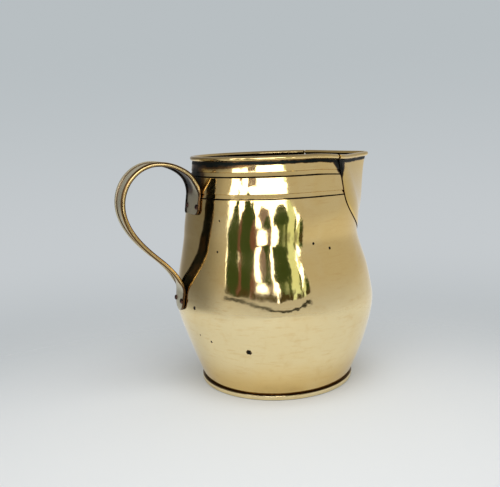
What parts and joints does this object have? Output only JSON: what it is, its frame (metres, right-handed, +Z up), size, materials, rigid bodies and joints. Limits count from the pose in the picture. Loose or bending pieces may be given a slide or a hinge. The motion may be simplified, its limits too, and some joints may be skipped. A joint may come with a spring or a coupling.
{
  "type": "ale jug",
  "caption": "Round-bellied sheet-brass ale jug with a wired rim, a folded pouring spout and a riveted strap handle with wired edges.",
  "frame": {"origin": "centre of the flat underside, on the body's axis", "axes": "+Z up, -X towards the handle, +X opposite it and 12 degrees from the spout, +Y to the left when looking along +X"},
  "size_m": [0.2019, 0.158, 0.1799],
  "materials": {
    "body_brass": "polished old sheet brass with light wear",
    "spout_brass": "polished old sheet brass, tarnished in the seams",
    "base_brass": "polished old sheet brass, dull underneath",
    "handle_brass": "hand-worn sheet brass",
    "rivet_copper": "dark old copper",
    "iron_wire": "dull drawn iron"
  },
  "bodies": {
    "root": {"body": "body_brass", "rim_wire": "iron_wire", "spout": "spout_brass", "spout_rim_wire": "iron_wire", "base_plate": "base_brass", "handle_strap": "handle_brass", "handle_wire_left": "iron_wire", "handle_wire_right": "iron_wire", "upper_rivet_left": "rivet_copper", "upper_rivet_right": "rivet_copper", "lower_rivet_left": "rivet_copper", "lower_rivet_right": "rivet_copper"}
  },
  "joints": []
}
